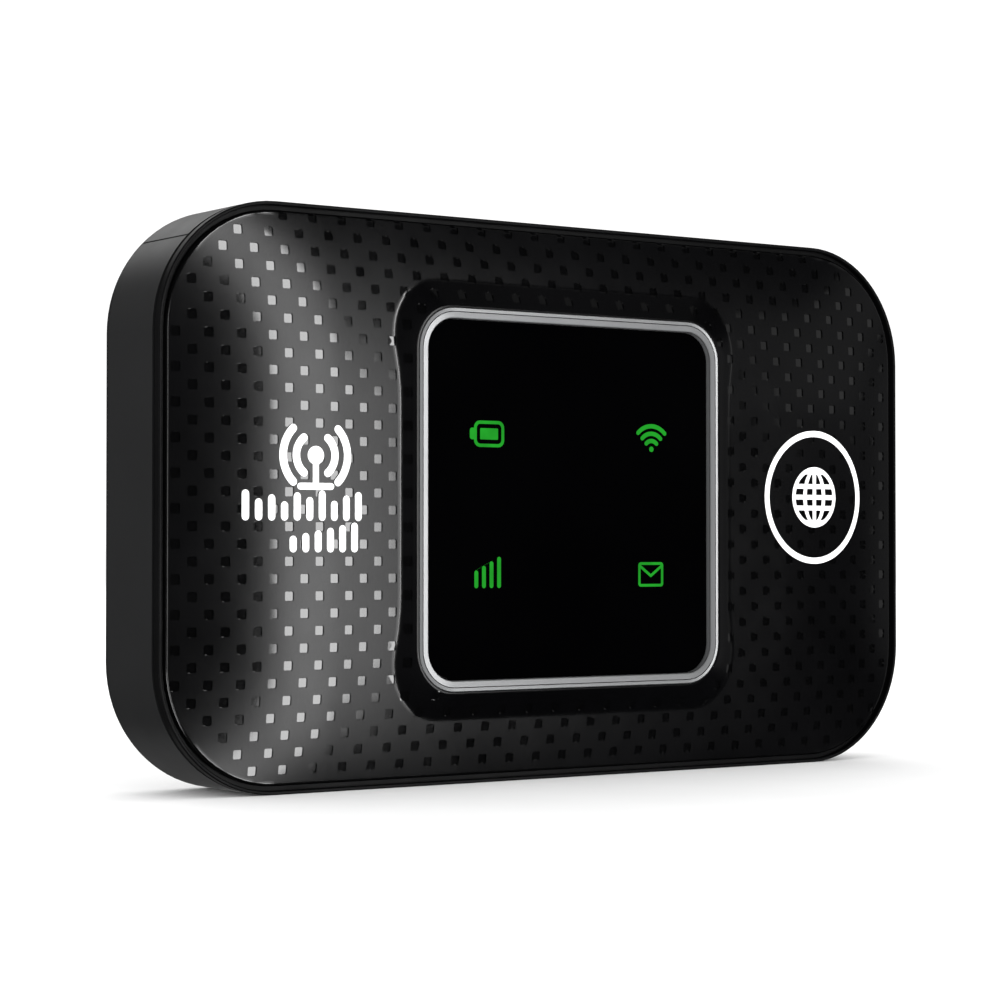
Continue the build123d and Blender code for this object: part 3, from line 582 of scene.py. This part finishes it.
# Screw bosses, down to the floor of the housing.
screw_low, screw_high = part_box("housing_screws")
boss_u = (screw_high.x - screw_low.x) / 2 / MM - SCREW_HEAD
boss_v = (screw_high.z - screw_low.z) / 2 / MM - SCREW_HEAD
turns = np.linspace(0, 2 * math.pi, 24, endpoint=False)
unit_circle = np.stack([np.cos(turns), np.sin(turns)], axis=-1)
out_of_boss = np.stack([unit_circle[:, 0], np.zeros(len(turns)), unit_circle[:, 1]], axis=-1)
to_back = facing(BACK, turns)
for side_u in (-1, 1):
    for side_v in (-1, 1):
        centre = np.array([side_u * boss_u, side_v * boss_v])
        outer, bore, bore_middle = (centre + r * unit_circle for r in (BOSS_RADIUS, BORE_RADIUS, 0.05))
        top = dome(*centre) - SHELL / 2
        cover.strip(lift(outer, top), lift(outer, BOSS_END), out_of_boss, INSIDE)
        cover.strip(lift(outer, BOSS_END), lift(bore, BOSS_END), to_back, INSIDE)
        cover.strip(lift(bore, BOSS_END), lift(bore, BORE_END), -out_of_boss, INSIDE)
        cover.strip(lift(bore, BORE_END), lift(bore_middle, BORE_END), to_back, INSIDE)
cover_face = cover.build("cover_face", [face_satin, face_polished, face_inside, face_edge])
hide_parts("front_cover")


# ------------------------------------------------------------------ window ring
ring_low, ring_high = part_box("window_ring")
RING_HALF = (ring_high.x - CENTRE_X) / MM
RING_FRONT = (RIM_Y - ring_low.y) / MM
ring = Shell()


def ring_loop(inwards):
    return rounded_loop(RING_HALF - inwards, RING_HALF - inwards, RING_CORNER - inwards, 14, 40)


def ring_strip(start, end, slot):
    """The surface between two points of the profile, each a distance inwards and a height."""
    lean_out, lean_front = start[1] - end[1], end[0] - start[0]
    given = loop_normal(ring_loop(RING_WIDTH / 2), 1) * lean_out + FRONT * lean_front
    given = given / np.linalg.norm(given, axis=1, keepdims=True)
    ring.strip(lift(ring_loop(start[0]), start[1]), lift(ring_loop(end[0]), end[1]), given, slot)


# Each point is a distance inwards, a height, and the material of the strip that starts there.
groove_start, groove_end = RING_GROOVE
groove_floor = RING_FRONT - 0.06
# The groove is modelled, and its strips also use material 1, the near-black painted seam shade, which
# stands in for the shade inside the groove.
profile = [(0, LEDGE, 0), (0, RING_FRONT - 0.2, 0), (0.03, RING_FRONT - 0.11, 0),
           (0.1, RING_FRONT - RING_DIP, 0), (groove_start, RING_FRONT, 1), (groove_start, groove_floor, 1),
           (groove_end, groove_floor, 1), (groove_end, RING_FRONT, 0), (1.08, RING_FRONT - RING_DIP, 0),
           (1.16, RING_FRONT - 0.1, 0), (RING_WIDTH, RING_FRONT - 0.2, 0), (RING_WIDTH, LEDGE, 0)]
for start, end in zip(profile, profile[1:]):
    ring_strip(start, end, start[2])
back_inner, back_outer = lift(ring_loop(RING_WIDTH), LEDGE), lift(ring_loop(0), LEDGE)
ring.strip(back_inner, back_outer, facing(BACK, back_outer))
ring_bezel = ring.build("ring_bezel", [finishes["ring_silver"], painted_seam_shade])
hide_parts("window_ring")


# ------------------------------------------------------------------ seams of the top strip, as strips of painted shade
strip_low, strip_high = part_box("top_strip")
seam_w = np.linspace((RIM_Y - strip_low.y) / MM, (RIM_Y - strip_high.y) / MM, 9)
seam_angles = np.radians([SEAM_AT - SEAM_HALF, SEAM_AT + SEAM_HALF])
seam_quads = [(2 * k, 2 * k + 1, 2 * k + 3, 2 * k + 2) for k in range(len(seam_w) - 1)]
# At each seam a thin near-black strip lies just proud of the wall: painted shade for the shade inside the
# gap.
for name, side in (("painted_seam_shade_left", -1), ("painted_seam_shade_right", 1)):
    seam_u = side * (HALF_W - CORNER + (CORNER + SEAM_PROUD) * np.cos(seam_angles))
    seam_v = HALF_H - CORNER + (CORNER + SEAM_PROUD) * np.sin(seam_angles)
    points = np.concatenate([place(seam_u, seam_v, w) for w in seam_w])
    out_of_wall = np.array([side * math.cos(math.radians(SEAM_AT)), 0, math.sin(math.radians(SEAM_AT))])
    seam_shade_strip = Shell()
    seam_shade_strip.add(points, seam_quads, facing(out_of_wall, points))
    piece = seam_shade_strip.build(name, [painted_seam_shade])


# ------------------------------------------------------------------ printed marks and lit symbols
def polar(angle):
    return np.array([math.cos(angle), math.sin(angle)])


def capsule(start, end, width, steps=6):
    """A straight stroke with round ends."""
    start, end = np.array(start, float), np.array(end, float)
    angle = math.atan2(*(end - start)[::-1])
    length = np.linalg.norm(end - start)
    points = []
    for at, turn_by in ((end, -math.pi / 2), (start, math.pi / 2)):
        for k in range(steps + 1):
            points.append(at + width / 2 * polar(angle + turn_by + math.pi * k / steps))
    run = length / max(1, round(length / 1.2)) + 1e-6
    return fill_run(np.array(points), lambda side: int(round(side / run)))


def circle(centre, radius, steps):
    a = np.linspace(0, 2 * math.pi, steps, endpoint=False)
    return np.array(centre) + np.stack([radius * np.cos(a), radius * np.sin(a)], axis=-1)


def arc_stroke(centre, radius, width, start, end, steps=24):
    """An arc with round ends, its angles in degrees."""
    angles = np.radians(np.linspace(start, end, steps))
    cap_turns = np.linspace(0, math.pi, 7)[1:-1]
    outer = [(radius + width / 2) * polar(angle) for angle in angles]
    inner = [(radius - width / 2) * polar(angle) for angle in angles[::-1]]
    caps = []
    for at, first in ((angles[-1], 0), (angles[0], math.pi)):
        caps.append([radius * polar(at) + width / 2 * polar(at + first + turn) for turn in cap_turns])
    return np.array(centre) + np.array(outer + caps[0] + inner + caps[1])


def box_loop(centre, half_w, half_h, corner):
    return np.array(centre) + rounded_loop(half_w, half_h, corner, 5, 1.2)


def decal(name, solid, holes, level, thick, material):
    """A thin layer with this plan: level gives its lower face."""
    plan, triangles, middles = triangulate(solid + holes)
    shown = np.zeros(len(middles), bool)
    for loop in solid:
        shown |= inside(middles, loop)
    for loop in holes:
        shown &= ~inside(middles, loop)
    triangles = triangles[shown]
    lower = level(*plan.T)
    front = normals(*plan.T) if level is height else facing(FRONT, plan)
    layer = Shell()
    layer.add(lift(plan, lower + thick), triangles, front)
    layer.add(lift(plan, lower), triangles, -front)
    sides = dict.fromkeys(pair for a, b, c in triangles for pair in ((a, b), (b, c), (c, a)))
    for a, b in sides:
        if (b, a) not in sides:
            along = plan[b] - plan[a]
            outward = np.array([along[1], 0, -along[0]]) / np.linalg.norm(along)
            quad = np.concatenate([lift(plan[[a, b]], lower[[a, b]]),
                                   lift(plan[[b, a]], lower[[b, a]] + thick)])
            layer.add(quad, [(0, 1, 2, 3)], facing(outward, quad))
    piece = layer.build(name, [material])


def mark(name, solid, holes=()):
    """A white print on the face."""
    decal(name, solid, list(holes), height, PRINT_THICK, print_white)


def on_lens(u, v):
    return np.full(np.shape(u), LENS_FRONT)


def symbol(name, solid, holes=(), thick=SYMBOL_THICK):
    """A lit symbol on the lens."""
    decal(name, solid, list(holes), on_lens, thick, icon_green)


# Left: a mast that sends waves to both sides, over two rows of a level meter.
MAST, MAST_FOOT, MAST_STROKE, WAVE_STROKE = (-32.4, 4.3), 1.3, 0.7, 0.85
BASE_V, BASE_ENDS = 1.15, (-34.2, -30.6)
METER_STEP, METER_STROKE = 1.44, 0.8


def meter(first_u, foot_v, tallest, levels):
    """A row of upright bars."""
    bars = []
    for k, level in enumerate(levels):
        u = first_u + k * METER_STEP
        bars.append(capsule((u, foot_v), (u, foot_v + tallest * level), METER_STROKE))
    return bars


left_strokes = [circle(MAST, 0.95, 28), capsule(MAST, (MAST[0], MAST_FOOT), MAST_STROKE),
                capsule((BASE_ENDS[0], BASE_V), (BASE_ENDS[1], BASE_V), MAST_STROKE)]
for radius, reach in ((2.25, 52), (3.75, 46)):
    left_strokes.append(arc_stroke(MAST, radius, WAVE_STROKE, -reach, reach))
    left_strokes.append(arc_stroke(MAST, radius, WAVE_STROKE, 180 - reach, 180 + reach))
left_strokes += meter(-40.3, -1.95, 2.3, (1.0, 0.62, 0.8, 0.5, 0.9, 0.7, 1.0, 0.55, 0.78, 0.95))
left_strokes += meter(-35.0, -5.15, 2.25, (0.4, 0.52, 0.64, 0.76, 0.88, 1.0))
mark("mark_left", left_strokes)

# Right: a ring round a plain globe.
HUB, MARK_OUTSIDE, MARK_INSIDE, GLOBE = (35.2, 0.8), 7.7, 7.0, 3.5
CELLS, CELLS_TOP, PARALLEL, HALF_LINE, LEAST_CELL = 3.0, 3.2, 1.25, 0.27, 0.12
mark("mark_ring", [circle(HUB, MARK_OUTSIDE, 120)], [circle(HUB, MARK_INSIDE, 120)])


def globe_cells():
    """Openings of the globe between its meridians and parallels."""
    cells = []
    for v0, v1 in ((-CELLS_TOP, -PARALLEL - HALF_LINE), (-PARALLEL + HALF_LINE, -HALF_LINE),
                   (HALF_LINE, PARALLEL - HALF_LINE), (PARALLEL + HALF_LINE, CELLS_TOP)):
        v = np.linspace(v0, v1, 7)
        half_chord = np.sqrt(np.maximum(CELLS ** 2 - v ** 2, 0))
        for inner, outer in ((0.0, 0.5), (0.5, 1.0)):
            a = half_chord * inner + HALF_LINE
            b = half_chord * outer - (HALF_LINE if outer < 1 else 0)
            use = b > a + LEAST_CELL
            if use.sum() < 2:
                continue
            right = np.stack([b[use], v[use]], axis=-1)
            left = np.stack([a[use], v[use]], axis=-1)[::-1]
            loop = np.concatenate([right, left])
            cells.append(np.array(HUB) + loop)
            cells.append(np.array(HUB) + loop * np.array([-1, 1]))
    return cells


mark("mark_globe", [circle(HUB, GLOBE, 64)], globe_cells())

# Window: a charged battery, wireless waves, level bars and a message.
battery, waves, message = (-10.95, 7.0), (11.0, 5.75), (10.9, -8.0)
symbol("icon_battery", [box_loop(battery, 1.95, 1.4, 0.75), box_loop((-13.05, 7.0), 0.38, 0.62, 0.3)],
       [box_loop(battery, 1.6, 1.05, 0.45)])
symbol("icon_charge", [box_loop(battery, 1.15, 0.6, 0.1)])
symbol("icon_wireless",
       [circle((11.0, 5.85), 0.3, 20)] + [arc_stroke(waves, r, 0.48, 45, 135) for r in (1.02, 1.82, 2.65)])
symbol("icon_bars",
       [capsule((-12.6 + 0.98 * k, -9.1), (-12.6 + 0.98 * k, -7.7 + 0.48 * k), 0.48) for k in range(4)])
symbol("icon_message", [box_loop(message, 1.75, 1.35, 0.35)], [box_loop(message, 1.45, 1.05, 0.12)])
flap = np.array(message) + np.array([(-1.55, 0.95), (0.0, -0.15), (1.55, 0.95)])
symbol("icon_flap", [capsule(flap[0], flap[1], 0.3, 4)], thick=0.9 * SYMBOL_THICK)
symbol("icon_flap_right", [capsule(flap[1], flap[2], 0.3, 4)], thick=0.8 * SYMBOL_THICK)


# ------------------------------------------------------------------ studio
def area_light(name, at, width, tall, radiance, shape="RECTANGLE", lean=0.0):
    """A softbox of even brightness that faces the object, its top leaning left by some degrees."""
    data = bpy.data.lights.new(name, "AREA")
    data.shape = shape
    data.size, data.size_y = width, tall
    data.energy = radiance * math.pi * width * tall * (math.pi / 4 if shape == "ELLIPSE" else 1)
    light = bpy.data.objects.new(name, data)
    bpy.context.scene.collection.objects.link(light)
    light.location = at
    turned = (middle_point - at).to_track_quat("-Z", "Y") @ Quaternion((0, 0, 1), math.radians(lean))
    light.rotation_euler = turned.to_euler()
    light.visible_camera = False


def toward(azimuth, elevation):
    """A direction from the object: azimuth 0 is in front, 90 to its right."""
    a, e = math.radians(azimuth), math.radians(elevation)
    return Vector((math.sin(a) * math.cos(e), -math.cos(a) * math.cos(e), math.sin(e)))


def around(azimuth, elevation, distance):
    """A place at some metres from the middle of the face."""
    return middle_point + distance * toward(azimuth, elevation)


middle_point = Vector((CENTRE_X, RIM_Y, CENTRE_Z))
area_light("key", around(26.3, 1.2, 1.2), 0.236, 1.06, 16.5, "ELLIPSE", 4.5)
area_light("fill_right", around(50, 9, 1.4), 0.4, 0.3, 0.6)
area_light("band_side", around(66, 0, 1.4), 0.25, 0.7, 0.45)
area_light("band_top", around(48, 40, 1.4), 0.5, 0.35, 0.14)
area_light("edge_line", around(-98, 0, 1.2), 0.3, 1.0, 6.5)
area_light("edge_left", around(-150, 0, 1.2), 0.5, 1.2, 0.22)
area_light("top", around(176, 36, 1.3), 0.9, 0.45, 2.1)
area_light("low", around(176, -34, 1.3), 0.9, 0.45, 0.4)
area_light("back_left", around(-125, 25, 1.5), 0.7, 0.7, 1.0)
area_light("back_right", around(130, 30, 1.5), 0.8, 0.8, 2.0)

# Sheen for the views from other sides: each stands where the object mirrors that camera.
area_light("sheen_right", around(-46, -24, 1.4), 0.34, 0.9, 8.0)
area_light("sheen_front", around(-14, -6, 1.4), 0.2, 0.9, 6.0)
area_light("sheen_side", around(97, -8, 1.4), 0.5, 0.9, 1.5)
area_light("sheen_back", around(140, -18, 1.4), 0.6, 0.7, 2.5)

world = bpy.data.worlds.new("studio")
bpy.context.scene.world = world
world.use_nodes = True
background = world.node_tree.nodes["Background"]
background.inputs["Color"].default_value = (1, 1, 1, 1)
background.inputs["Strength"].default_value = 1.12
world.cycles_visibility.glossy = False

FLOOR_HALF = 30
floor_mesh = bpy.data.meshes.new("studio_floor")
floor_corners = [(-sx * FLOOR_HALF, -sy * FLOOR_HALF, 0) for sx, sy in QUARTERS]
floor_mesh.from_pydata(floor_corners, [], [(0, 1, 2, 3)])
studio_floor = bpy.data.objects.new("studio_floor", floor_mesh)
bpy.context.scene.collection.objects.link(studio_floor)
floor_material = moulded("floor_paper", (0.94, 0.94, 0.94), 0.9, grain=800, depth=1e-5,
                         specular=0.0, vary=0.01)
floor_mesh.materials.append(floor_material)
studio_floor.visible_glossy = False
studio_floor.visible_shadow = False

view = bpy.context.scene.view_settings
view.view_transform = "Standard"
view.look = "None"

# ------------------------------------------------------------------ camera
# It stands to the left of the face and a little below its middle. Its distance, and the point beside
# the middle of the face that it looks at, are in millimetres.
AZIMUTH, ELEVATION, DISTANCE = -35.291, -1.067, 290.5
LOOK_LEFT, LOOK_BEHIND, LOOK_UP = 5.5, 3.89, 0.14
camera_data = bpy.data.cameras.new("photo_view")
camera_data.sensor_width = 36.0
camera_data.lens = 96.05
camera_data.clip_start = 0.01
camera = bpy.data.objects.new("photo_view", camera_data)
bpy.context.scene.collection.objects.link(camera)
look_at = middle_point + Vector((-LOOK_LEFT, LOOK_BEHIND, LOOK_UP)) * MM
backwards = toward(AZIMUTH, ELEVATION)
camera.location = look_at + backwards * DISTANCE * MM
camera.rotation_euler = (-backwards).to_track_quat("-Z", "Y").to_euler()
bpy.context.scene.camera = camera
